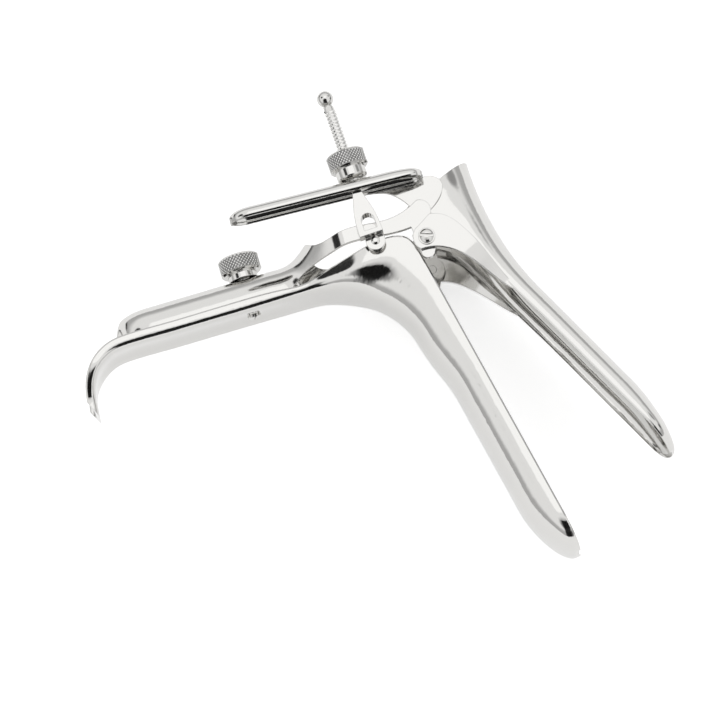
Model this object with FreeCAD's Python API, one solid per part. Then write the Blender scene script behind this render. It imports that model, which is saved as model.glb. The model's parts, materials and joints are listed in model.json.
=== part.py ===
import FreeCAD, Part
import math
import os
from FreeCAD import Vector

# All sizes in millimetres. The instrument lies on its side: X runs along the lower blade to its tip,
# Y from the lower blade to the upper one, Z up. The blades' pivot axis is the line X = 0, Y = 0.

# Sheet and running clearances
sheet = 1.3
arm_sheet = 1.8
side_clearance = 0.3
pin_clearance = 0.06
fit_clearance = 0.02

# Lower blade
blade_width = 35.0
lower_length = 114.9
lower_depth = 10.9
lower_rim_drop = 4.5
throat_depth = 13.5
throat_run = 22.0
lower_tip_run = 21.5
lower_round_run = 11.5
lower_round_squareness = 2.6
lower_drop_squareness = 1.6
blade_squareness = 2.4

# Bend and flared throat between the blade and the handle
bend_x = 26.3
bend_radius = 31.7
handle_lean = 11.6
flare_reach = 33.9
flare_roundness = 10.0
flare_spread = 1.1

# Handle and its hook
handle_width = 22.4
handle_flange = 3.7
handle_squareness = 5.0
handle_dish = 1.0
handle_length = 63.2
hook_radius = 14.5
hook_turn = 84.0
hook_run = 6.0
hook_flange = 2.6
hook_width = 13.5
hook_cut_back = 4.2

# Upper blade
upper_tilt = 15.6
upper_length = 106.3
upper_crown = 17.7
upper_rim = 10.2
upper_tip_run = 24.5
upper_round_run = 10.5
upper_drop_squareness = 1.5
collar_back = 13.0
collar_crown = 30.0
collar_rim = 3.6
collar_run = 36.0
collar_squareness = 3.0
ear_radius = 4.6
fold_height = 11.0
fold_start = 24.0
fold_run = 26.0
ear_run = 32.0

# Sliding frame
tongue_play = 0.6
tongue_crest = 13.6
tongue_squareness = 2.3
tongue_below = 45.5
tongue_nose = 11.0
tongue_nose_lift = 0.5
shoulder_start = 13.0
shoulder_end = 38.0
shoulder_crest = 18.0
shoulder_top = 25.8
crotch_at = 22.0
arm_rear = 14.4
arm_front = 9.2
arm_end = 65.9
arm_squareness = 8.0
arm_ear_radius = 4.3
arm_tail_reach = 6.6
arm_tail_radius = 2.3
slot_play = 0.2
slot_above = 12.7
slide_travel = 18.0

# Clamp screw through the handle
screw_at = 18.9
clamp_shank = 4.4
clamp_head_diameter = 14.0
clamp_head_height = 6.0
clamp_neck_diameter = 10.0
clamp_neck_height = 2.3
clamp_end_proud = 1.0
clamp_slit = 0.6
boss_diameter = 8.0
boss_height = 3.6

# Thumb lever, on the upper blade's near side
lever_width = 10.6
lever_rise = 3.7
lever_root = (-19.6, 6.0)
lever_length = 63.5
lever_lean = 14.1
lever_nose = 7.0
lever_root_reach = 2.6
lever_root_run = 12.0
lever_root_round = 4.5
lever_squareness = 2.4
lever_slot_length = 8.0
lever_slot_play = 0.4
web_foot = 23.0
web_blend_from = 18.5
web_blend_to = 8.0

# Swinging stirrup, adjusting rod and nut
swing_at = (-6.9, -15.7)
swing_angle = 170.8
eye_radius = 3.3
eye_thickness = 1.6
stirrup_depth = 5.2
stirrup_width = 8.1
stirrup_bar = 1.6
stirrup_shift = 0.7
stirrup_apex = 17.6
stirrup_apex_width = 2.8
window_width = 4.4
window_start = 3.2
window_end = 8.8
window_shift = 0.3
rivet_diameter = 1.8
rivet_head_diameter = 3.0
rivet_head_height = 0.5
rod_diameter = 3.7
rod_offset = 0.3
rod_neck_diameter = 2.8
rod_spigot = 5.4
rod_spigot_diameter = 1.8
ball_diameter = 5.6
ball_at = 51.8
nut_gap = 0.3
nut_tip_diameter = 6.4
nut_tip_height = 1.0
nut_neck_diameter = 10.3
nut_neck_height = 3.0
nut_head_diameter = 13.2
nut_head_height = 6.0

# Pivot screws
pivot_diameter = 3.0
pivot_head_diameter = 4.7
pivot_head_height = 1.3
pivot_slot = 0.8
washer_diameter = 5.7
washer_thickness = 0.5

# Places that follow from the sizes above
flare_half_width = blade_width / 2 + flare_spread
tongue_width = handle_width - 2 * (sheet + tongue_play)
slot_width = clamp_shank + 2 * slot_play
tip_half_width = 3 * sheet
lever_lip = sheet + 0.2
lower_rim_y = -lower_rim_drop
bend_y = lower_rim_y - throat_depth - bend_radius
flare_rise = throat_depth + bend_radius
lean = math.radians(handle_lean)
down_handle = Vector(-math.sin(lean), -math.cos(lean), 0)
up_handle = down_handle.negative()
behind_handle = Vector(-math.cos(lean), math.sin(lean), 0)
bend_centre = Vector(bend_x, bend_y, 0)
handle_top = bend_centre + behind_handle * bend_radius
handle_end = handle_top + down_handle * handle_length
screw_foot = handle_top + down_handle * screw_at
floor_centre = screw_foot + behind_handle * handle_dish
tilt = math.radians(upper_tilt)
along_upper = Vector(math.cos(tilt), math.sin(tilt), 0)
above_upper = Vector(-math.sin(tilt), math.cos(tilt), 0)
arm_inner = flare_half_width + 2 * side_clearance
arm_outer = arm_inner + arm_sheet
ear_inner = arm_outer + side_clearance
ear_outer = ear_inner + sheet
lever_plate_inner = blade_width / 2 + 0.1
lever_plate_outer = arm_inner - side_clearance
swing_direction = Vector(math.cos(math.radians(swing_angle)), math.sin(math.radians(swing_angle)), 0)
swing_side = Vector(0, 0, 1).cross(swing_direction)
swing_point = Vector(swing_at[0], swing_at[1], 0)
eye_inner = arm_outer + side_clearance
eye_outer = eye_inner + eye_thickness
swing_z = eye_inner + stirrup_depth / 2
lever_direction = Vector(-math.sin(math.radians(lever_lean)), -math.cos(math.radians(lever_lean)), 0)
lever_back = Vector(-math.cos(math.radians(lever_lean)), math.sin(math.radians(lever_lean)), 0)
lever_start = Vector(lever_root[0], lever_root[1], 0)
lever_z = swing_z
z_axis = Vector(0, 0, 1)


def blend(a, b, share):
    """From a to b, leaving and arriving level, as share goes from 0 to 1."""
    share = min(1.0, max(0.0, share))
    return a + (b - a) * share * share * (3 - 2 * share)


def spline(points):
    """A smooth edge through points that are evenly spaced in its parameter."""
    curve = Part.BSplineCurve()
    last = len(points) - 1
    curve.interpolate(Points=points, Parameters=[i / last for i in range(last + 1)])
    return curve.toShape()


def arch_wire(foot, inward, half_width, depth, squareness, wall, centre_z=0.0, dish=0.0, steps=16):
    """A section of bent sheet: an arch with its crown at foot, open towards inward, with softened rims.

    A dish hollows the crown towards the inside."""
    outer = []
    inner = []
    for i in range(steps + 1):
        angle = math.pi * i / steps
        across = math.cos(angle)
        up = math.sin(angle)
        reach = (abs(across) ** squareness + abs(up) ** squareness) ** (-1 / squareness)
        across = across * reach
        fall = 1 - up * reach
        hollow = dish * max(0.0, 1 - across * across) ** 2
        outer.append(foot + z_axis * (centre_z + half_width * across) + inward * (depth * fall + hollow))
        fall_inside = wall + (depth - wall) * fall + hollow
        outer_minus = (half_width - wall) * across
        inner.append(foot + z_axis * (centre_z + outer_minus) + inward * fall_inside)
    edges = [spline(outer)]
    edges += rim_edges(outer[-1], inner[-1], inward)
    edges.append(spline(inner[::-1]))
    edges += rim_edges(inner[0], outer[0], inward)
    return Part.Wire(edges)


def rim_edges(start, end, outward):
    """The softened rim between the two faces of a sheet, in three flats."""
    middle = (start + end) * 0.5
    radius = (end - start).Length / 2
    points = []
    for i in range(4):
        angle = math.pi * i / 3
        points.append(middle + (start - middle) * math.cos(angle) + outward * (radius * math.sin(angle)))
    return [line(points[i], points[i + 1]) for i in range(3)]


def line(a, b):
    return Part.LineSegment(a, b).toShape()


def tip_distances(run, steps=6):
    """Distances back from a rounded tip, closer together towards its end."""
    return [run * (i / steps) ** 2 for i in range(steps + 1)]


def left_at(distance, run, squareness=2.0):
    """How much of the full size is left at a distance from a tip that is rounded over a run."""
    share = max(0.0, 1 - distance / run)
    return (1 - share ** squareness) ** (1 / squareness)


def lower_blade_wires():
    wires = []
    # Rounded tip, from the front back to the straight blade
    lip = sheet + 0.1
    for distance in tip_distances(lower_tip_run):
        left = left_at(distance, lower_round_run, lower_round_squareness)
        depth = lip + (lower_depth - lip) * left_at(distance, lower_tip_run, lower_drop_squareness)
        wires.append(lower_blade_wire(lower_length - distance, max(tip_half_width, blade_width / 2 * left), depth))
    # Straight blade, deepening towards the throat
    straight_end = lower_length - lower_tip_run
    count = 10
    for i in range(1, count + 1):
        x = straight_end + (bend_x - straight_end) * i / count
        depth = blend(throat_depth, lower_depth, (x - bend_x) / throat_run)
        wires.append(lower_blade_wire(x, blade_width / 2, depth))
    # Bend, where the walls flare and then sink into the handle's flanges
    count = 9
    turn = 90.0 - handle_lean
    for i in range(1, count + 1):
        angle = math.radians(90.0 + turn * i / count)
        inward = Vector(math.cos(angle), math.sin(angle), 0)
        share = i / count
        up = math.sin(angle) / flare_rise
        back = -math.cos(angle) / flare_reach
        reach = (up ** flare_roundness + back ** flare_roundness) ** (-1 / flare_roundness)
        widest = blend(blade_width / 2, flare_half_width, share / 0.5)
        half_width = blend(widest, handle_width / 2 + 0.6, (share - 0.55) / 0.45)
        squareness = blend(blade_squareness, handle_squareness - 1.0, share)
        foot = bend_centre + inward * bend_radius
        wires.append(arch_wire(foot, inward, half_width, reach - bend_radius, squareness, sheet))
    # Handle
    flange_at_top = flare_reach / math.cos(lean) - bend_radius
    for run in (8.0, 18.0, 34.0, 50.0, handle_length):
        depth = blend(flange_at_top, handle_flange, run / 18.0)
        half_width = blend(handle_width / 2 + 0.6, handle_width / 2, run / 18.0)
        foot = handle_top + down_handle * run
        squareness = blend(handle_squareness - 1.0, handle_squareness, run / 18.0)
        dish = blend(0.0, handle_dish, run / 14.0)
        wires.append(arch_wire(foot, behind_handle, half_width, depth, squareness, sheet, dish=dish))
    # Hook
    hook_centre = handle_end - behind_handle * hook_radius
    count = 6
    for i in range(1, count + 1):
        angle = math.radians(180.0 - handle_lean + hook_turn * i / count)
        inward = Vector(math.cos(angle), math.sin(angle), 0)
        depth = blend(handle_flange, hook_flange, i / count)
        half_width = blend(handle_width / 2, hook_width / 2, (i / count - 0.5) / 0.6)
        foot = hook_centre + inward * hook_radius
        dish = blend(handle_dish, 0.0, i / count)
        wires.append(arch_wire(foot, inward, half_width, depth, handle_squareness, sheet, dish=dish))
    run_direction = z_axis.cross(inward)
    foot = foot + run_direction * hook_run
    wires.append(arch_wire(foot, inward, hook_width / 2, hook_flange, handle_squareness, sheet))
    return wires


def lower_blade_wire(x, half_width, depth):
    foot = Vector(x, lower_rim_y - depth, 0)
    return arch_wire(foot, Vector(0, 1, 0), half_width, depth, blade_squareness, sheet)


def upper_point(s, h, z=0.0):
    """A point in the upper blade's own directions: s along it and h above the pivot."""
    return along_upper * s + above_upper * h + z_axis * z


def upper_crown_at(s):
    """Height of the crown, rising to the collar behind the blade."""
    if s >= collar_run:
        return upper_crown
    share = (collar_run - s) / (collar_run + collar_back)
    return upper_crown + (collar_crown - upper_crown) * share * share


def upper_rim_at(s):
    """Height of the rim, lifted over the ears and lowered again behind the pivot."""
    lifted = fold_height - sheet
    if s > fold_start:
        return blend(lifted, upper_rim, (s - fold_start) / fold_run)
    return blend(lifted, collar_rim, (ear_radius - s) / collar_back)


def upper_blade_wire(s, half_width, crown, rim):
    foot = upper_point(s, crown)
    squareness = blend(collar_squareness, blade_squareness, (s + collar_back) / collar_run)
    return arch_wire(foot, above_upper.negative(), half_width, crown - rim, squareness, sheet)


def upper_blade_shell():
    wires = []
    lip = sheet + 0.1
    for distance in tip_distances(upper_tip_run):
        left = left_at(distance, upper_round_run)
        drop = left_at(distance, upper_tip_run, upper_drop_squareness)
        crown = upper_rim + lip + (upper_crown - upper_rim - lip) * drop
        half_width = max(tip_half_width, blade_width / 2 * left)
        wires.append(upper_blade_wire(upper_length - distance, half_width, crown, upper_rim))
    straight_end = upper_length - upper_tip_run
    run = straight_end + collar_back
    count = 14
    for i in range(1, count + 1):
        s = straight_end - run * i / count
        wires.append(upper_blade_wire(s, blade_width / 2, upper_crown_at(s), upper_rim_at(s)))
    return Part.makeLoft(wires, True, False)


def free_spline(points):
    """A smooth edge through points at their own distances."""
    curve = Part.BSplineCurve()
    curve.interpolate(points)
    return curve.toShape()


def prism(edges, direction):
    face = Part.Face(Part.Wire(edges))
    return face.extrude(direction)


def ear_wall_z(s, inside):
    """Height above the mid-plane of the ear's outer or inner face, sinking into the blade's wall."""
    share = (s - 2 * ear_radius) / (ear_run - 2 * ear_radius)
    if inside:
        return blend(ear_inner, blade_width / 2 - sheet + 0.2, share)
    return blend(ear_outer, blade_width / 2 - 0.3, share)


def ear_fold_points():
    """The fold line where the ear leaves the blade's wall, from behind the pivot forward."""
    rear = (-ear_radius - 0.5, ear_radius + 1.2)
    over = (-0.4 * ear_radius, fold_height - 1.9)
    top = (1.5 * ear_radius, fold_height)
    middle = (fold_start, upper_rim_at(fold_start) + 0.6 * sheet)
    end = (ear_run, upper_rim_at(ear_run) + 0.4 * sheet)
    return [rear, over, top, middle, end]


def ear_edge(angle):
    """A point of the ear's round end, by its angle about the pivot."""
    turn = math.radians(angle)
    return upper_point(ear_radius * math.cos(turn), ear_radius * math.sin(turn))


def near_ear():
    """One ear: a sheet that swings out from the blade's wall past the frame's arm, with its folded ledge."""
    stations = []
    count = 5
    for i in range(count + 1):
        stations.append(2 * ear_radius + (ear_run + 1.0 - 2 * ear_radius) * i / count)
    low = -2 * ear_radius
    height = above_upper * (fold_height - low + 4.0)
    outer = [upper_point(s, low, ear_wall_z(s, False)) for s in stations]
    inner = [upper_point(s, low, ear_wall_z(s, True)) for s in stations]
    rear_outer = upper_point(low, low, ear_outer)
    rear_inner = upper_point(low, low, ear_inner)
    shelf = blade_width / 2 - sheet + 0.3
    floor = [upper_point(low, low, shelf), upper_point(stations[-1], low, shelf)]
    plate = prism([line(rear_outer, outer[0]), free_spline(outer), line(outer[-1], inner[-1]),
                   free_spline(inner[::-1]), line(inner[0], rear_inner), line(rear_inner, rear_outer)], height)
    under = prism([line(rear_outer, outer[0]), free_spline(outer), line(outer[-1], floor[1]),
                   line(floor[1], floor[0]), line(floor[0], rear_outer)], height)
    fold = ear_fold_points()
    fold_low = [upper_point(s, h - sheet) for s, h in fold]
    fold_high = [upper_point(s, h) for s, h in fold]
    through = z_axis * (2 * blade_width)
    ledge = prism([free_spline(fold_low[1:]), line(fold_low[-1], fold_high[-1]), free_spline(fold_high[:0:-1]),
                   line(fold_high[1], fold_low[1])], through).common(under)
    turn_end = ear_edge(-65.0)
    turn_middle = ear_edge(-125.0)
    turn_start = ear_edge(-185.0)
    nose = upper_point(ear_run, upper_rim_at(ear_run) - 0.5 * sheet)
    lower_edge = [nose, upper_point(0.5 * ear_run, 1.25 * ear_radius), upper_point(1.6 * ear_radius, 0.5 * ear_radius),
                  turn_end]
    outline = prism([free_spline(fold_high), line(fold_high[-1], nose), free_spline(lower_edge),
                     Part.Arc(turn_end, turn_middle, turn_start).toShape(), line(turn_start, fold_high[0])], through)
    ear = plate.common(outline).fuse(ledge)
    hole = Part.makeCylinder(pivot_diameter / 2 + pin_clearance, through.Length, Vector(0, 0, 0), z_axis)
    return ear.cut(hole)


def mirrored(shape):
    return shape.mirror(Vector(0, 0, 0), z_axis)


def upper_blade():
    ear = near_ear()
    return upper_blade_shell().fuse([ear, mirrored(ear)]).removeSplitter()


def hook_cut():
    """What the slanted end of the hook leaves off, so that its flanges stop before its floor does."""
    angle = math.radians(180.0 - handle_lean + hook_turn)
    outward = Vector(math.cos(angle), math.sin(angle), 0)
    onward = z_axis.cross(outward)
    end = handle_end - behind_handle * hook_radius + outward * hook_radius + onward * hook_run
    slant = (outward * hook_flange - onward * hook_cut_back).normalize() * (2 * hook_radius)
    through = z_axis * (2 * handle_width)
    start = end - through * 0.5
    corners = [start - outward * hook_flange, start, start + slant, start + slant + onward * hook_radius,
               start + onward * hook_radius - outward * hook_flange]
    return prism(closed_lines(corners), through)


def lower_blade():
    shell = Part.makeLoft(lower_blade_wires(), True, False).cut(hook_cut())
    hole = Part.makeCylinder(clamp_shank / 2 + pin_clearance, 4 * sheet, floor_centre - behind_handle * sheet,
                             behind_handle)
    return shell.cut(hole)


def frame_point(q, r, z=0.0):
    """A point in the sliding frame's directions: q up the handle from the clamp screw, r behind it."""
    return screw_foot + up_handle * q + behind_handle * r + z_axis * z


def frame_place(point):
    """The frame's q and r of a point."""
    step = point - screw_foot
    return step.dot(up_handle), step.dot(behind_handle)


def frame_shell():
    """The tongue with its rounded nose, spreading at the shoulder into the walls that become the arms."""
    wires = []
    front = 2 * sheet
    lip = sheet + 0.2
    for distance in tip_distances(tongue_nose):
        left = left_at(distance, tongue_nose)
        lifted = front + tongue_nose_lift * (1 - left)
        crest = lifted + lip + (tongue_crest - lifted - lip) * left ** 0.35
        half_width = max(tip_half_width, tongue_width / 2 * left)
        wires.append(frame_wire(distance - tongue_below, half_width, crest, lifted, tongue_squareness, sheet))
    straight_start = tongue_nose - tongue_below
    count = 12
    for i in range(1, count + 1):
        q = straight_start + (shoulder_start - straight_start) * i / count
        wires.append(frame_wire(q, tongue_width / 2, tongue_crest, front, tongue_squareness, sheet))
    count = 7
    arm_front_limit = -arm_ear_radius
    for i in range(1, count + 1):
        share = i / count
        q = shoulder_start + (shoulder_end - shoulder_start) * share
        half_width = blend(tongue_width / 2, arm_outer, share / 0.95)
        crest = blend(tongue_crest, shoulder_top, share)
        squareness = blend(tongue_squareness, arm_squareness, share)
        wall = blend(sheet, arm_sheet, share)
        wires.append(frame_wire(q, half_width, crest, blend(front, arm_front_limit, share), squareness, wall))
    count = 9
    for i in range(1, count + 1):
        q = shoulder_end + (arm_end + 4.0 - shoulder_end) * i / count
        wires.append(frame_wire(q, arm_outer, shoulder_top, arm_front_limit, arm_squareness, arm_sheet))
    return Part.makeLoft(wires, True, False)


def frame_wire(q, half_width, crest, front, squareness, wall):
    return arch_wire(frame_point(q, crest), behind_handle.negative(), half_width, crest - front, squareness, wall)


def arm_outline():
    """The arm seen from the side, with the ear at its pivot and the lobe for the swing's rivet."""
    pivot_q, pivot_r = frame_place(Vector(0, 0, 0))
    through = z_axis * (4 * arm_outer)
    low = z_axis * (-2 * arm_outer)
    middle = (arm_rear + arm_front) / 2
    half = (arm_rear - arm_front) / 2
    rear = [(crotch_at - 8.0, shoulder_crest + 14.0), (crotch_at, shoulder_crest), (crotch_at + 3.5, arm_rear),
            (crotch_at + 14.0, arm_rear + 0.4), (arm_end - 16.0, arm_rear - 0.4),
            (arm_end - 3.5, arm_rear + 3.2)]
    front = [(arm_end - 0.9, arm_front + 1.8), (arm_end - 17.0, arm_front), (crotch_at + 14.0, arm_front + 0.8),
             (crotch_at + 8.0, arm_front - 0.1), (crotch_at, arm_front - 1.4), (shoulder_start, 2.0), (crotch_at - 12.0, -2.0)]
    rear_points = [frame_point(q, r) + low for q, r in rear]
    front_points = [frame_point(q, r) + low for q, r in front]
    top = frame_point(arm_end, arm_rear + 1.2) + low
    band = prism([free_spline(rear_points), Part.Arc(rear_points[-1], top, front_points[0]).toShape(),
                  free_spline(front_points), line(front_points[-1], rear_points[0])], through)
    tongue_corners = [(-tongue_below - 5.0, -5.0), (-tongue_below - 5.0, 40.0), (crotch_at - 7.9, 40.0),
                      (crotch_at - 7.9, -5.0)]
    tongue = prism(closed_lines([frame_point(q, r) + low for q, r in tongue_corners]), through)
    ear = Part.makeCylinder(arm_ear_radius, through.Length, low, z_axis)
    tail_at = Vector(arm_tail_reach - arm_tail_radius, arm_tail_radius - arm_ear_radius + 0.2, 0)
    tail = Part.makeCylinder(arm_tail_radius, through.Length, tail_at + low, z_axis)
    tail_side = z_axis.cross(tail_at).normalize()
    tail_corners = [tail_side * arm_ear_radius, tail_side * -arm_ear_radius, tail_at - tail_side * arm_tail_radius,
                    tail_at + tail_side * arm_tail_radius]
    tail_web = prism(closed_lines([corner + low for corner in tail_corners]), through)
    bridge_corners = [(pivot_q - 0.8 * arm_ear_radius, pivot_r), (pivot_q - arm_ear_radius, middle),
                      (pivot_q + 0.5 * arm_ear_radius, middle + half), (pivot_q + 0.8 * arm_ear_radius, pivot_r)]
    bridge = prism(closed_lines([frame_point(q, r) + low for q, r in bridge_corners]), through)
    lobe = Part.makeCylinder(eye_radius - 0.3, through.Length, swing_point + low, z_axis)
    return tongue.fuse([band, ear, tail, tail_web, bridge, lobe])


def closed_lines(points):
    return [line(points[i], points[(i + 1) % len(points)]) for i in range(len(points))]


def crotch_cut():
    """The opening between the arms, seen from behind: narrow at the crotch and as wide as the arms allow above."""
    count = 6
    sides = []
    for i in range(count + 1):
        share = i / count
        q = crotch_at + 14.0 * share
        sides.append((q, blend(tongue_width / 4, arm_inner - 1.2, share)))
    right = [frame_point(q, -30.0, z) for q, z in sides]
    left = [frame_point(q, -30.0, -z) for q, z in sides]
    top_q = arm_end + 10.0
    top = [frame_point(top_q, -30.0, sides[-1][1]), frame_point(top_q, -30.0, -sides[-1][1])]
    foot = frame_point(crotch_at - 2.0, -30.0)
    edges = [Part.Arc(left[0], foot, right[0]).toShape(), free_spline(right), line(right[-1], top[0]),
             line(top[0], top[1]), line(top[1], left[-1]), free_spline(left[::-1])]
    return prism(edges, behind_handle * 90.0)


def slot_cut():
    """The long slot in the tongue's crest that the clamp screw runs in."""
    half = slot_width / 2
    low_q = -slide_travel - half
    high_q = slot_above - half
    start = tongue_crest / 2
    corners = [frame_point(low_q, start, -half), frame_point(high_q, start, -half),
               frame_point(high_q, start, half), frame_point(low_q, start, half)]
    edges = [line(corners[0], corners[1]),
             Part.Arc(corners[1], frame_point(high_q + half, start), corners[2]).toShape(),
             line(corners[2], corners[3]),
             Part.Arc(corners[3], frame_point(low_q - half, start), corners[0]).toShape()]
    return prism(edges, behind_handle * tongue_crest)


def sliding_frame():
    shell = frame_shell().common(arm_outline())
    shell = shell.cut(crotch_cut()).cut(slot_cut())
    through = 4 * arm_outer
    pivot_hole = Part.makeCylinder(pivot_diameter / 2, through, z_axis * (-through / 2), z_axis)
    rivet_hole = Part.makeCylinder(rivet_diameter / 2, through, swing_point, z_axis)
    return shell.cut(pivot_hole).cut(rivet_hole)


def lever_point(t, back, z=0.0):
    return lever_start + lever_direction * t + lever_back * back + z_axis * z


def lever_wire(t, half_width, rise):
    foot = lever_point(t, rise)
    return arch_wire(foot, lever_back.negative(), half_width, rise, lever_squareness, sheet, lever_z)


def thumb_lever():
    """The arched lever, rounded at both ends, with the web plate that joins it to the blade's collar."""
    wires = []
    for distance in tip_distances(lever_nose):
        left = left_at(distance, lever_nose)
        half_width = max(2.0, lever_width / 2 * left)
        wires.append(lever_wire(lever_length - distance, half_width, lever_lip + (lever_rise - lever_lip) * left))
    straight_start = lever_root_run - lever_root_reach
    straight = lever_length - lever_nose - straight_start
    count = 12
    for i in range(1, count):
        wires.append(lever_wire(straight_start + straight * (1 - i / count), lever_width / 2, lever_rise))
    for distance in reversed(tip_distances(lever_root_run)):
        half_width = max(2.0, lever_width / 2 * left_at(distance, lever_root_round))
        left = left_at(distance, lever_root_run)
        wires.append(lever_wire(distance - lever_root_reach, half_width, lever_lip + (lever_rise - lever_lip) * left))
    channel = Part.makeLoft(wires, True, False)
    swing_t = lever_crossing()
    half = rod_diameter / 2 + lever_slot_play
    reach = lever_slot_length / 2 - half
    corners = [lever_point(swing_t - reach, -10.0, swing_z - half), lever_point(swing_t + reach, -10.0, swing_z - half),
               lever_point(swing_t + reach, -10.0, swing_z + half), lever_point(swing_t - reach, -10.0, swing_z + half)]
    slot = prism([line(corners[0], corners[1]),
                  Part.Arc(corners[1], lever_point(swing_t + reach + half, -10.0, swing_z), corners[2]).toShape(),
                  line(corners[2], corners[3]),
                  Part.Arc(corners[3], lever_point(swing_t - reach - half, -10.0, swing_z), corners[0]).toShape()],
                 lever_back * 20.0)
    return channel.cut(slot).fuse(lever_plate()).removeSplitter()


def lever_crossing():
    """How far down the lever the rod's axis crosses its edge line."""
    step = swing_place(0, rod_offset) - lever_start
    run = -step.dot(lever_back) / swing_direction.dot(lever_back)
    return (step + swing_direction * run).dot(lever_direction)


def lever_plate():
    """The web that widens from the lever's far flange onto the collar's side, with a hollow lower edge."""
    low = z_axis * lever_plate_inner
    lower = [lever_point(web_foot, 0.6), Vector(-22.9, -8.8, 0), Vector(-20.5, -4.4, 0), Vector(-17.1, -1.6, 0),
             Vector(-13.4, 0.1, 0), Vector(-8.8, 1.2, 0)]
    rise = [Vector(-8.6, 5.0, 0), Vector(-10.6, 9.6, 0), Vector(-14.6, 13.4, 0), lever_point(-5.0, 0.8)]
    top = [lever_point(-5.0, 0.8), lever_point(-1.0, 1.2), lever_point(0.75 * web_foot, 1.6)]
    lower = [p + low for p in lower]
    rise = [p + low for p in rise]
    top = [p + low for p in top]
    edges = [free_spline(lower), line(lower[-1], rise[0]), free_spline(rise), line(top[0], top[1]), line(top[1], top[2]),
             line(top[2], lower[0])]
    outline = prism(edges, z_axis * (lever_plate_outer - lever_plate_inner))
    # Its near face sinks to the collar's side towards the pivot
    count = 6
    face = []
    for i in range(count + 1):
        share = i / count
        z = blend(lever_plate_outer, lever_plate_inner + 0.3, share)
        face.append(Vector(-web_blend_from + (web_blend_from - web_blend_to) * share, -lever_length, z))
    rear = Vector(-lever_length, -lever_length, lever_plate_outer)
    corner = Vector(0, -lever_length, face[-1].z)
    foot = z_axis * (lever_plate_inner - 1.0)
    edges = [line(rear, face[0]), free_spline(face), line(face[-1], corner)]
    ends = [Vector(0, -lever_length, 0) + foot, Vector(-lever_length, -lever_length, 0) + foot]
    edges += [line(corner, ends[0]), line(ends[0], ends[1]), line(ends[1], rear)]
    return outline.common(prism(edges, Vector(0, 2 * lever_length, 0)))


def swing_place(t, w, z=0.0):
    """A point in the swing's directions: t along the rod from the rivet, w across it."""
    return swing_point + swing_direction * t + swing_side * w + z_axis * z


def swing_stirrup():
    """An eye on the rivet carrying a strap bent into a pointed stirrup, bored at its tip for the rod."""
    low = eye_inner
    half = stirrup_width / 2
    tip = stirrup_apex_width / 2
    sides = [(stirrup_bar, half), (0.3 * stirrup_apex, 0.97 * half), (0.55 * stirrup_apex, 0.84 * half),
             (0.8 * stirrup_apex, 0.56 * half), (stirrup_apex, tip)]
    right = [swing_place(t, stirrup_shift + w, low) for t, w in sides]
    left = [swing_place(t, stirrup_shift - w, low) for t, w in sides]
    body = prism([free_spline(right), line(right[-1], left[-1]), free_spline(left[::-1]),
                  line(left[0], right[0])], z_axis * stirrup_depth)
    gap = window_width / 2
    near = window_shift + gap
    far = window_shift - gap
    corners = [swing_place(window_start, far, low), swing_place(window_start, near, low),
               swing_place(window_end - gap, near, low), swing_place(window_end - gap, far, low)]
    window = prism([line(corners[0], corners[1]), line(corners[1], corners[2]),
                    Part.Arc(corners[2], swing_place(window_end, window_shift, low), corners[3]).toShape(),
                    line(corners[3], corners[0])], z_axis * stirrup_depth)
    eye = Part.makeCylinder(eye_radius, eye_thickness, swing_point + z_axis * low, z_axis)
    hole = Part.makeCylinder(rivet_diameter / 2 + pin_clearance, stirrup_depth, swing_point + z_axis * low, z_axis)
    bore = Part.makeCylinder(rod_spigot_diameter / 2 + fit_clearance, rod_spigot, swing_place(stirrup_apex - rod_spigot, rod_offset, swing_z),
                             swing_direction)
    return body.cut(window).fuse(eye).cut(hole).cut(bore)


def swing_rivet():
    shank = Part.makeCylinder(rivet_diameter / 2, eye_outer - arm_inner, swing_point + z_axis * arm_inner, z_axis)
    head = revolved([(0, 0), (rivet_head_diameter / 2, 0), (rivet_head_diameter / 2, rivet_head_height / 2),
                     (rivet_head_diameter / 4, rivet_head_height), (0, rivet_head_height)],
                    swing_point + z_axis * (eye_outer + pin_clearance), z_axis)
    neck = Part.makeCylinder(rivet_diameter / 2, 2 * pin_clearance, swing_point + z_axis * eye_outer, z_axis)
    return shank.fuse([neck, head]).removeSplitter()


def revolved(profile, base, direction):
    """A turned piece from (radius, height) corners, set on base with its axis along direction."""
    points = [Vector(r, 0, h) for r, h in profile]
    face = Part.Face(Part.Wire(closed_lines(points)))
    solid = face.revolve(Vector(0, 0, 0), z_axis, 360)
    solid.Placement = FreeCAD.Placement(base, FreeCAD.Rotation(z_axis, direction))
    return solid


def adjusting_rod():
    radius = rod_diameter / 2
    spigot = rod_spigot_diameter / 2
    top = ball_at - ball_diameter / 2 + 0.4
    neck = rod_neck_diameter / 2
    profile = [(0, -rod_spigot), (spigot, -rod_spigot), (spigot, 0), (neck, 0), (radius, 1.0),
               (radius, top - stirrup_apex - 1.0), (neck, top - stirrup_apex), (spigot, top - stirrup_apex),
               (spigot, ball_at - stirrup_apex), (0, ball_at - stirrup_apex)]
    return revolved(profile, swing_place(stirrup_apex, rod_offset, swing_z), swing_direction)


def stop_ball():
    centre = swing_place(ball_at, rod_offset, swing_z)
    ball = Part.makeSphere(ball_diameter / 2, centre)
    cut_at = ball_at - ball_diameter / 2 + 0.4
    flat = Part.makeCylinder(ball_diameter, ball_diameter, swing_place(cut_at - ball_diameter, rod_offset, swing_z),
                             swing_direction)
    bore = Part.makeCylinder(rod_spigot_diameter / 2 + fit_clearance, ball_diameter / 2,
                             swing_place(ball_at - ball_diameter / 2, rod_offset, swing_z), swing_direction)
    return ball.cut(flat).cut(bore)


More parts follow.
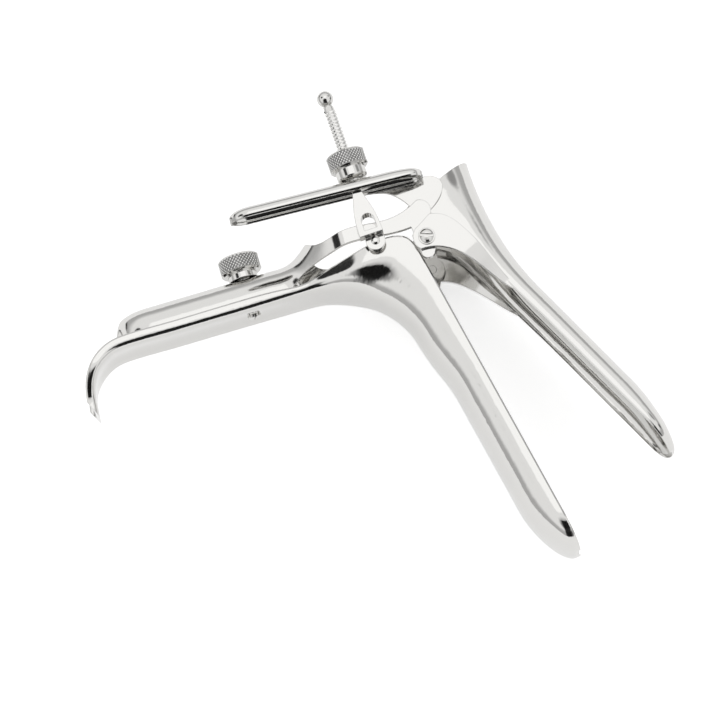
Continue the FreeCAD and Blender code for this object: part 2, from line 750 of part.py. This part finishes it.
def nut_seat():
    """How far along the rod the lever's crest lies, where the nut bears."""
    step = lever_start + lever_back * lever_rise - swing_place(0, rod_offset)
    return step.dot(lever_back) / swing_direction.dot(lever_back)


def adjusting_nut():
    bore = rod_diameter / 2 + pin_clearance
    tip = nut_tip_diameter / 2
    neck = nut_neck_diameter / 2
    head = nut_head_diameter / 2
    neck_at = nut_tip_height
    head_at = neck_at + nut_neck_height
    top = head_at + nut_head_height
    edge = 0.6
    profile = [(bore, 0), (tip, 0), (neck - 0.3, neck_at - 0.4), (neck, neck_at), (neck, head_at),
               (head - edge, head_at), (head, head_at + edge), (head, top - edge), (head - edge, top), (bore, top)]
    return revolved(profile, swing_place(nut_seat() + nut_gap, rod_offset, swing_z), swing_direction)


def threaded_boss():
    base = floor_centre + behind_handle * (sheet / 2)
    bore = clamp_shank / 2 + pin_clearance
    outer = boss_diameter / 2
    top = boss_height + sheet / 2
    boss = revolved([(bore, 0), (outer, 0), (outer, top), (bore, top)], base, behind_handle)
    return boss.cut(lower_blade())


def clamp_screw():
    shank = clamp_shank / 2
    neck = clamp_neck_diameter / 2
    head = clamp_head_diameter / 2
    edge = 0.6
    seat = tongue_crest + pin_clearance + clamp_end_proud - handle_dish
    head_at = seat + clamp_neck_height
    top = head_at + clamp_head_height
    profile = [(0, 0), (shank - 0.3, 0), (shank, 0.3), (shank, seat), (neck, seat), (neck, head_at),
               (head - edge, head_at), (head, head_at + edge), (head, top - edge), (head - edge, top), (0, top)]
    base = floor_centre - behind_handle * clamp_end_proud
    screw = revolved(profile, base, behind_handle)
    depth = clamp_end_proud + sheet
    slit = Part.makeBox(2 * clamp_shank, clamp_slit, depth)
    slit.translate(Vector(-clamp_shank, -clamp_slit / 2, 0))
    slit.Placement = FreeCAD.Placement(base, FreeCAD.Rotation(z_axis, behind_handle)).multiply(slit.Placement)
    return screw.cut(slit)


def pivot_screw():
    shank = pivot_diameter / 2
    head = pivot_head_diameter / 2
    under_head = ear_outer + washer_thickness - arm_inner
    top = under_head + pivot_head_height
    profile = [(0, 0), (shank, 0), (shank, under_head), (head, under_head), (head, top - 0.7),
               (0.75 * head, top - 0.2), (0.4 * head, top), (0, top)]
    screw = revolved(profile, z_axis * arm_inner, z_axis)
    slot = Part.makeBox(2 * head, pivot_slot, pivot_head_height)
    slot.translate(Vector(-head, -pivot_slot / 2, arm_inner + top - 0.6))
    slot.rotate(Vector(0, 0, 0), z_axis, 60.0)
    return screw.cut(slot)


def pivot_washer():
    base = z_axis * (ear_outer)
    ring = Part.makeCylinder(washer_diameter / 2, washer_thickness, base, z_axis)
    hole = Part.makeCylinder(pivot_diameter / 2, washer_thickness, base, z_axis)
    return ring.cut(hole)


def pieces():
    screw = pivot_screw()
    washer = pivot_washer()
    return {
        "lower_blade": lower_blade(),
        "threaded_boss": threaded_boss(),
        "sliding_frame": sliding_frame(),
        "upper_blade": upper_blade(),
        "thumb_lever": thumb_lever(),
        "swing_stirrup": swing_stirrup(),
        "swing_rivet": swing_rivet(),
        "adjusting_rod": adjusting_rod(),
        "stop_ball": stop_ball(),
        "adjusting_nut": adjusting_nut(),
        "clamp_screw": clamp_screw(),
        "pivot_screw_near": screw,
        "pivot_screw_far": mirrored(screw),
        "pivot_washer_near": washer,
        "pivot_washer_far": mirrored(washer),
    }


def rest_place(shapes):
    """The middle of the whole part's underside, which becomes the origin."""
    points = []
    for shape in shapes:
        points += shape.tessellate(0.02)[0]
    xs = [p.x for p in points]
    ys = [p.y for p in points]
    zs = [p.z for p in points]
    return Vector((min(xs) + max(xs)) / 2, (min(ys) + max(ys)) / 2, min(zs))


def build():
    os.makedirs("parts", exist_ok=True)
    shapes = pieces()
    origin = rest_place(shapes.values())
    for name, shape in shapes.items():
        shape.translate(origin.negative())
        shape.exportStep("parts/" + name + ".step")
        print(name, len(shape.Solids), round(shape.Volume, 1), shape.isValid())


build()
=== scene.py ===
import bmesh
import bpy
import json
import math
from mathutils import Matrix, Vector


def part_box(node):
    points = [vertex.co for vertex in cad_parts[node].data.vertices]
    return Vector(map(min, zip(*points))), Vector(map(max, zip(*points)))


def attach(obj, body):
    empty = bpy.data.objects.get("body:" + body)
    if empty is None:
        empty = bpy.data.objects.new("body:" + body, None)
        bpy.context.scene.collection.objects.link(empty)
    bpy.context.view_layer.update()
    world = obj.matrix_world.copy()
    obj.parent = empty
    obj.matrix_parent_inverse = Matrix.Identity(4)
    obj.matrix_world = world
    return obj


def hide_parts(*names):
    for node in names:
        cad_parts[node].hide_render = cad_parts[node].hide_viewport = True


print("loading the frame")
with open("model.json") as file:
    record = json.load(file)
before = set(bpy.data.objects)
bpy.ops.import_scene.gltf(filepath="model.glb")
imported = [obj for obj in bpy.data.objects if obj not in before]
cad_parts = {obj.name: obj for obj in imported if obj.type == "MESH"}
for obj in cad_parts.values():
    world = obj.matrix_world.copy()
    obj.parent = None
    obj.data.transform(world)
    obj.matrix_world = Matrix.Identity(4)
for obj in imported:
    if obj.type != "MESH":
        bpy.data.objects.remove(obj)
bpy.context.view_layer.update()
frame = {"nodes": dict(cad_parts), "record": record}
nodes = frame["nodes"]

rowUp = Vector((0, 0, 1))
mm = 0.001
fullTurn = 2 * math.pi

# The photograph's angle on the part. Lengths are in millimetres, and the lean is to its right and up
photo = {
    "width": 720,
    "pixelsPerMillimetre": 3.0,
    "tiltDegrees": 15.5,
    "leanTowards": (0.2, -0.98),
    "turnDegrees": 61.8,
    "pivotPixel": (426.8, 236.6),
    "pivotLift": 22.0,
    "distance": 3000.0,
    "sensor": 36.0,
    "clipEnd": 20000.0,
}


def cosine(degrees):
    return math.cos(math.radians(degrees))


def sine(degrees):
    return math.sin(math.radians(degrees))


# What lies to the photograph's right and upwards, in the plane that the part lies in
photoRight = Vector((cosine(photo["turnDegrees"]), sine(photo["turnDegrees"]), 0))
photoUp = Vector((-sine(photo["turnDegrees"]), cosine(photo["turnDegrees"]), 0))


def boxCentre(name):
    low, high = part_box(name)
    return (Vector(low) + Vector(high)) / 2


def jointAxis(name):
    joints = frame["record"]["behaviour"]["joints"]
    return next(Vector(joint["axis"]) for joint in joints if joint["name"] == name)


def direction(azimuth, fromAbove):
    # azimuth is counted round the photograph from its right, fromAbove from straight over the part
    level = photoRight * cosine(azimuth) + photoUp * sine(azimuth)
    return level * sine(fromAbove) + rowUp * cosine(fromAbove)


number = "NodeSocketFloat"
vector = "NodeSocketVector"


def newGroup(name, inputs, outputs):
    group = bpy.data.node_groups.new(name, "ShaderNodeTree")
    for socket, kind in inputs.items():
        group.interface.new_socket(socket, in_out="INPUT", socket_type=kind)
    for socket, kind in outputs.items():
        group.interface.new_socket(socket, in_out="OUTPUT", socket_type=kind)
    return group, group.nodes.new("NodeGroupInput"), group.nodes.new("NodeGroupOutput")


def newNode(tree, kind, **settings):
    node = tree.nodes.new(kind)
    for setting, value in settings.items():
        setattr(node, setting, value)
    return node


def linkAll(tree, *links):
    for source, output, target, socket in links:
        tree.links.new(source.outputs[output], target.inputs[socket])


# Slow waves that polished sheet keeps from pressing and buffing, and the rounding of its cut edges
ripple = {"detail": 1.0, "height": 0.4, "edgeSamples": 6, "edgeRounding": 0.3}


def rippleGroup():
    inputs = {"Scale": number, "Strength": number}
    group, start, end = newGroup("sheetRipple", inputs, {"Normal": vector})
    place = newNode(group, "ShaderNodeTexCoord")
    noise = newNode(group, "ShaderNodeTexNoise")
    noise.inputs["Detail"].default_value = ripple["detail"]
    bump = newNode(group, "ShaderNodeBump")
    bump.inputs["Distance"].default_value = ripple["height"] * mm
    edge = newNode(group, "ShaderNodeBevel", samples=ripple["edgeSamples"])
    edge.inputs["Radius"].default_value = ripple["edgeRounding"] * mm
    linkAll(
        group,
        (edge, "Normal", bump, "Normal"),
        (place, "Object", noise, "Vector"),
        (start, "Scale", noise, "Scale"),
        (start, "Strength", bump, "Strength"),
        (noise, "Fac", bump, "Height"),
        (bump, "Normal", end, "Normal"),
    )
    return group


def metal(name, look):
    material = bpy.data.materials.new(name)
    material.use_nodes = True
    tree = material.node_tree
    shader = tree.nodes["Principled BSDF"]
    shader.inputs["Base Color"].default_value = look["colour"]
    shader.inputs["Metallic"].default_value = 1.0
    shader.inputs["Roughness"].default_value = look["roughness"]
    waves = newNode(tree, "ShaderNodeGroup", node_tree=sheetRipple)
    waves.inputs["Scale"].default_value = look["rippleScale"]
    waves.inputs["Strength"].default_value = look["ripple"]
    linkAll(tree, (waves, "Normal", shader, "Normal"))
    return material


def paintGrooveShade(material, look):
    # painted shade: the base colour darkens towards the bottom of each cut groove, where shade
    # falls. The attribute runs from 0 at the bottom of a cut groove to 1 on the ridge beside it
    tree = material.node_tree
    height = newNode(tree, "ShaderNodeAttribute", attribute_name=ridgeAttribute)
    tone = newNode(tree, "ShaderNodeValToRGB")
    shadeStop, ridge = tone.color_ramp.elements
    shadeStop.position, shadeStop.color = look["paintedShadeUpTo"], look["paintedGrooveShade"]
    ridge.position, ridge.color = look["ridgeFrom"], look["colour"]
    shader = tree.nodes["Principled BSDF"]
    linkAll(tree, (height, "Fac", tone, "Fac"), (tone, "Color", shader, "Base Color"))


print("materials")
ridgeAttribute = "ridge"
polished = {
    "colour": (0.71, 0.703, 0.685, 1),
    "roughness": 0.09,
    "ripple": 0.04,
    "rippleScale": 40.0,
}
# satin steel for the knurls and the thread, with painted shade darkening the bottoms of their
# grooves
satinWithGrooveShade = {
    "colour": (0.95, 0.945, 0.93, 1),
    "roughness": 0.32,
    "ripple": 0.10,
    "rippleScale": 1500.0,
    "paintedGrooveShade": (0.13, 0.128, 0.125, 1),
    "paintedShadeUpTo": 0.15,
    "ridgeFrom": 0.6,
}
sheetRipple = rippleGroup()
polishedSteel = metal("polishedSteel", polished)
satinSteelGrooveShade = metal("satinSteelGrooveShade", satinWithGrooveShade)
# paints shade into the grooves of the satin steel
paintGrooveShade(satinSteelGrooveShade, satinWithGrooveShade)
for name, node in nodes.items():
    node.data.materials.clear()
    node.data.materials.append(polishedSteel)

# Distances in millimetres that count as the same place on a solid's mesh
sameVertex = 0.002
sameEnd = 0.01
sameRadius = 0.03
sharpFromDegrees = 30


def fromAxis(point, origin, axis):
    # how far along the axis a point lies, and how far out from it
    step = point - origin
    along = step.dot(axis)
    return along, (step - axis * along).length


def mergedCopy(node):
    bm = bmesh.new()
    bm.from_mesh(nodes[node].data)
    bmesh.ops.remove_doubles(bm, verts=bm.verts[:], dist=sameVertex * mm)
    return bm


def spunLine(points, **turning):
    part = bmesh.new()
    line = [part.verts.new(point) for point in points]
    edges = [part.edges.new(pair) for pair in zip(line, line[1:])]
    bmesh.ops.spin(part, geom=line + edges, cent=(0, 0, 0), axis=(0, 0, 1), **turning)
    return part


def smoothed(bm):
    for face in bm.faces:
        face.smooth = True
    for edge in bm.edges:
        edge.smooth = edge.calc_face_angle(0) < math.radians(sharpFromDegrees)


def joined(bm, part, origin, axis):
    # the part was made round +Z from the origin, and goes onto the axis of the solid's mesh
    upright = axis.to_track_quat("Z", "Y").to_matrix().to_4x4()
    part.transform(Matrix.Translation(origin) @ upright)
    spare = bpy.data.meshes.new("spare")
    part.to_mesh(spare)
    part.free()
    bm.from_mesh(spare)
    bpy.data.meshes.remove(spare)


def finished(name, bm, body, node):
    mesh = bpy.data.meshes.new(name)
    bmesh.ops.recalc_face_normals(bm, faces=bm.faces[:])
    bm.to_mesh(mesh)
    bm.free()
    mesh.materials.append(polishedSteel)
    mesh.materials.append(satinSteelGrooveShade)
    piece = bpy.data.objects.new(name, mesh)
    bpy.context.scene.collection.objects.link(piece)
    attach(piece, body)
    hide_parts(node)
    return piece


def triangleWave(value):
    return 1 - 2 * abs(value - math.floor(value) - 0.5)


# The knurled heads: the solid's own mesh, with its smooth band cut out for a diamond knurl.
# "around" diamonds go round the head, each of "steps" faces, and lengths are in millimetres
knurl = {"around": 34, "steps": 6, "depth": 0.38, "fade": 0.25, "edge": 0.6, "headHeight": 6.0}


def pressDiamonds(head, rim, low, high, diamond):
    ridge = head.verts.layers.float.new(ridgeAttribute)
    for vert in head.verts:
        around = math.atan2(vert.co.y, vert.co.x) / fullTurn * knurl["around"]
        up = (vert.co.z - low) / diamond
        height = min(triangleWave(around + up), triangleWave(around - up))
        toEnd = min(vert.co.z - low, high - vert.co.z)
        faded = min(1.0, toEnd / (knurl["fade"] * mm))
        # the ridge value sets how much painted shade the knurl's grooves get
        vert[ridge] = 1 - (1 - height) * faded
        radius = rim - knurl["depth"] * mm * (1 - height) * faded
        outward = Vector((vert.co.x, vert.co.y, 0)).normalized()
        vert.co = outward * radius + Vector((0, 0, vert.co.z))
    for face in head.faces:
        face.material_index = 1


def knurledPiece(name, node, body, axis):
    bm = mergedCopy(node)
    # the head's flat end is round, so its middle is on the axis
    reach = max(vert.co.dot(axis) for vert in bm.verts)
    ends = [vert.co for vert in bm.verts if vert.co.dot(axis) > reach - sameEnd * mm]
    origin = sum(ends, Vector()) / len(ends)
    places = {vert: fromAxis(vert.co, origin, axis) for vert in bm.verts}
    top = max(along for along, radius in places.values())
    rim = max(radius for along, radius in places.values())
    skin = rim - sameRadius * mm
    band = [face for face in bm.faces if min(places[vert][1] for vert in face.verts) > skin]
    bmesh.ops.delete(bm, geom=band, context="FACES")
    smoothed(bm)
    bm.verts.layers.float.new(ridgeAttribute)
    high = top - knurl["edge"] * mm
    low = top - (knurl["headHeight"] - knurl["edge"]) * mm
    diamond = fullTurn * rim / knurl["around"]
    rows = round((high - low) / diamond * knurl["steps"])
    points = [(rim, 0, low + (high - low) * i / rows) for i in range(rows + 1)]
    steps = knurl["around"] * knurl["steps"]
    head = spunLine(points, angle=fullTurn, steps=steps, use_merge=True)
    pressDiamonds(head, rim, low, high, diamond)
    joined(bm, head, origin, axis)
    return finished(name, bm, body, node)


# The rod's thread, a ridge wound along its smooth core. Lengths are in millimetres, and the profile
# gives the shares of the pitch at which the ridge rises, is up, starts down and is down again
thread = {"pitch": 1.25, "depth": 0.5, "sides": 32, "below": 0.02, "profile": (0.3, 0.55, 0.8, 1.0)}


def threadedRod(name, node, body, axis):
    origin = boxCentre(node)
    bm = mergedCopy(node)
    places = {vert: fromAxis(vert.co, origin, axis) for vert in bm.verts}
    rim = max(radius for along, radius in places.values())
    root = rim - thread["depth"] * mm
    skin = rim - sameRadius * mm
    outer = [along for along, radius in places.values() if radius > skin]
    low, high = min(outer), max(outer)
    for vert, (along, radius) in places.items():
        if radius > skin:
            centre = origin + axis * along
            vert.co = centre + (vert.co - centre) * (root / rim)
    smoothed(bm)
    bm.verts.layers.float.new(ridgeAttribute)
    pitch = thread["pitch"] * mm
    turns = math.floor((high - low) / pitch) - 1
    start = low + ((high - low) - (turns + 1) * pitch) / 2
    crest = rim - thread["below"] * mm
    rise, up, down, end = thread["profile"]
    outline = [(root, 0.0), (root, rise), (crest, up), (crest, down), (root, end)]
    points = [(radius, 0, start + share * pitch) for radius, share in outline]
    climb = (0, 0, pitch / thread["sides"])
    steps = thread["sides"] * turns
    wound = spunLine(points, dvec=climb, angle=fullTurn * turns, steps=steps, use_merge=False)
    bmesh.ops.remove_doubles(wound, verts=wound.verts[:], dist=sameVertex * mm)
    ridge = wound.verts.layers.float.new(ridgeAttribute)
    for vert in wound.verts:
        # the ridge value sets how much painted shade the thread's root gets
        vert[ridge] = (math.hypot(vert.co.x, vert.co.y) - root) / (rim - root)
    for face in wound.faces:
        face.smooth = True
        face.material_index = 1
    joined(bm, wound, origin, axis)
    return finished(name, bm, body, node)


print("knurled heads and thread")
knurledPiece("nutKnurled", "adjusting_nut", "nut", jointAxis("nut_travel"))
knurledPiece("clampKnurled", "clamp_screw", "clamp", jointAxis("clamp_turn"))
threadedRod("rodThreaded", "adjusting_rod", "rod", jointAxis("nut_travel"))

# The floor: metres, and how far below the part it lies in millimetres. It glows to white for the
# camera, and mirroredGlow is the share of that glow which the steel mirrors
table = {
    "radius": 0.34,
    "segments": 96,
    "below": 0.3,
    "colour": (0.72, 0.72, 0.72, 1),
    "glow": 0.55,
    "mirroredGlow": 0.55,
}


def floorPiece():
    mesh = bpy.data.meshes.new("floor")
    bm = bmesh.new()
    bmesh.ops.create_circle(bm, cap_ends=True, segments=table["segments"], radius=table["radius"])
    bm.to_mesh(mesh)
    bm.free()
    floor = bpy.data.objects.new("floor", mesh)
    bpy.context.scene.collection.objects.link(floor)
    floor.location.z = -table["below"] * mm
    material = bpy.data.materials.new("paleFloor")
    material.use_nodes = True
    tree = material.node_tree
    shader = tree.nodes["Principled BSDF"]
    shader.inputs["Base Color"].default_value = table["colour"]
    shader.inputs["Roughness"].default_value = 1.0
    shader.inputs["Specular IOR Level"].default_value = 0.0
    shader.inputs["Emission Color"].default_value = (1, 1, 1, 1)
    path = newNode(tree, "ShaderNodeLightPath")
    seen = newNode(tree, "ShaderNodeMath", operation="MULTIPLY_ADD")
    seen.inputs[1].default_value = table["mirroredGlow"]
    glow = newNode(tree, "ShaderNodeMath", operation="MULTIPLY")
    glow.inputs[1].default_value = table["glow"]
    linkAll(
        tree,
        (path, "Is Glossy Ray", seen, 0),
        (path, "Is Camera Ray", seen, 2),
        (seen, "Value", glow, 0),
        (glow, "Value", shader, "Emission Strength"),
    )
    mesh.materials.append(material)
    return floor


# What the polished steel mirrors from the white room: darker patches, the last of them all round
# the horizon, and one dark strip. Angles are in degrees, "keep" is the share of light left in them
sky = 1.0
patches = [
    {"azimuth": -95, "fromAbove": 34, "inner": 14, "outer": 30, "keep": 0.30},
    {"azimuth": 165, "fromAbove": 45, "inner": 10, "outer": 14, "keep": 0.03},
    {"azimuth": 40, "fromAbove": 58, "inner": 6, "outer": 14, "keep": 0.35},
    {"azimuth": 8, "fromAbove": 80, "inner": 6, "outer": 12, "keep": 0.05},
    {"azimuth": 155, "fromAbove": 98, "inner": 8, "outer": 16, "keep": 0.10},
    {"azimuth": 0, "fromAbove": 180, "inner": 98, "outer": 116, "keep": 0.52},
]
strip = {"azimuth": -80, "fromAbove": 72, "half": 58, "width": 20, "edge": 5, "keep": 0.02}


def patchGroup():
    # the share of light from a direction: all of it outside the patch, the kept share inside
    inputs = {"Ray": vector, "Towards": vector, "Outer": number, "Inner": number, "Keep": number}
    group, start, end = newGroup("darkPatch", inputs, {"Left": number})
    nearness = newNode(group, "ShaderNodeVectorMath", operation="DOT_PRODUCT")
    edge = newNode(group, "ShaderNodeMapRange", interpolation_type="SMOOTHSTEP")
    edge.inputs["To Min"].default_value = 1.0
    linkAll(
        group,
        (start, "Ray", nearness, 0),
        (start, "Towards", nearness, 1),
        (nearness, "Value", edge, "Value"),
        (start, "Outer", edge, "From Min"),
        (start, "Inner", edge, "From Max"),
        (start, "Keep", edge, "To Max"),
        (edge, "Result", end, "Left"),
    )
    return group


def stripGroup():
    # the same for a strip along a great circle, as far as its reach from its middle
    inputs = {"Ray": vector, "Towards": vector, "Across": vector, "Reach": number}
    inputs.update({"Inner": number, "Outer": number, "Keep": number})
    group, start, end = newGroup("darkStrip", inputs, {"Left": number})
    across = newNode(group, "ShaderNodeVectorMath", operation="DOT_PRODUCT")
    aside = newNode(group, "ShaderNodeMath", operation="ABSOLUTE")
    edge = newNode(group, "ShaderNodeMapRange", interpolation_type="SMOOTHSTEP")
    nearness = newNode(group, "ShaderNodeVectorMath", operation="DOT_PRODUCT")
    beyond = newNode(group, "ShaderNodeMath", operation="LESS_THAN")
    outside = newNode(group, "ShaderNodeMath", operation="MAXIMUM")
    left = newNode(group, "ShaderNodeMapRange")
    linkAll(
        group,
        (start, "Ray", across, 0),
        (start, "Across", across, 1),
        (across, "Value", aside, 0),
        (aside, "Value", edge, "Value"),
        (start, "Inner", edge, "From Min"),
        (start, "Outer", edge, "From Max"),
        (start, "Ray", nearness, 0),
        (start, "Towards", nearness, 1),
        (nearness, "Value", beyond, 0),
        (start, "Reach", beyond, 1),
        (edge, "Result", outside, 0),
        (beyond, "Value", outside, 1),
        (outside, "Value", left, "Value"),
        (start, "Keep", left, "To Min"),
        (left, "Result", end, "Left"),
    )
    return group


def darkened(tree, place, group, values):
    node = newNode(tree, "ShaderNodeGroup", node_tree=group)
    for socket, value in values.items():
        node.inputs[socket].default_value = value
    linkAll(tree, (place, "Generated", node, "Ray"))
    return node.outputs["Left"]


def patchValues(patch):
    return {
        "Towards": direction(patch["azimuth"], patch["fromAbove"]),
        "Outer": cosine(patch["outer"]),
        "Inner": cosine(patch["inner"]),
        "Keep": patch["keep"],
    }


def stripValues():
    return {
        "Towards": direction(strip["azimuth"], strip["fromAbove"]),
        "Across": direction(strip["azimuth"] + 90, 90),
        "Reach": cosine(strip["half"]),
        "Inner": sine(strip["width"] - strip["edge"]),
        "Outer": sine(strip["width"] + strip["edge"]),
        "Keep": strip["keep"],
    }


def studioWorld():
    world = bpy.data.worlds.new("studio")
    bpy.context.scene.world = world
    world.use_nodes = True
    tree = world.node_tree
    background = tree.nodes["Background"]
    background.inputs["Color"].default_value = (1, 1, 1, 1)
    place = newNode(tree, "ShaderNodeTexCoord")
    darkPatch = patchGroup()
    shares = [darkened(tree, place, darkPatch, patchValues(patch)) for patch in patches]
    shares.append(darkened(tree, place, stripGroup(), stripValues()))
    light = shares[0]
    for share in shares[1:]:
        product = newNode(tree, "ShaderNodeMath", operation="MULTIPLY")
        tree.links.new(light, product.inputs[0])
        tree.links.new(share, product.inputs[1])
        light = product.outputs["Value"]
    # The dark parts are only there for what the steel mirrors
    path = newNode(tree, "ShaderNodeLightPath")
    pick = newNode(tree, "ShaderNodeMix", data_type="FLOAT")
    pick.inputs["A"].default_value = sky
    tree.links.new(light, pick.inputs["B"])
    linkAll(
        tree,
        (path, "Is Glossy Ray", pick, "Factor"),
        (pick, "Result", background, "Strength"),
    )


# A broad soft lamp over the part, in metres, watts and degrees
topLamp = {"azimuth": 88, "fromAbove": 20, "distance": 1.3, "size": 0.8, "power": 0.55}


def softLamp(name, lamp):
    towards = direction(lamp["azimuth"], lamp["fromAbove"])
    light = bpy.data.lights.new(name, "AREA")
    light.size = lamp["size"]
    light.energy = lamp["power"]
    hung = bpy.data.objects.new(name, light)
    bpy.context.scene.collection.objects.link(hung)
    hung.location = towards * lamp["distance"]
    hung.rotation_mode = "QUATERNION"
    hung.rotation_quaternion = towards.to_track_quat("Z", "Y")
    return hung


print("floor and light")
floorPiece()
studioWorld()
softLamp("topLamp", topLamp)


def photoCamera():
    leanX, leanY = photo["leanTowards"]
    lean = (photoRight * leanX + photoUp * leanY).normalized()
    turned = Matrix.Rotation(math.radians(photo["tiltDegrees"]), 3, rowUp.cross(lean))
    right = turned @ photoRight
    up = turned @ photoUp
    back = turned @ rowUp
    # the pivot's place in the picture is known, so the middle of the picture follows from it
    near = boxCentre("pivot_screw_near")
    far = boxCentre("pivot_screw_far")
    pivot = Vector((near.x, near.y, (near.z + far.z) / 2 + photo["pivotLift"] * mm))
    pixel = mm / photo["pixelsPerMillimetre"]
    half = photo["width"] / 2
    pivotX, pivotY = photo["pivotPixel"]
    target = pivot + right * ((half - pivotX) * pixel) - up * ((half - pivotY) * pixel)
    distance = photo["distance"] * mm
    data = bpy.data.cameras.new("photoCamera")
    data.sensor_width = photo["sensor"]
    data.lens = photo["sensor"] * distance / (photo["width"] * pixel)
    data.clip_end = photo["clipEnd"] * mm
    camera = bpy.data.objects.new("photoCamera", data)
    bpy.context.scene.collection.objects.link(camera)
    camera.matrix_world = Matrix((right, up, back)).transposed().to_4x4()
    camera.location = target + back * distance
    bpy.context.scene.camera = camera
    return camera


print("camera")
photoCamera()
bpy.context.scene.view_settings.view_transform = "Standard"

print("done")
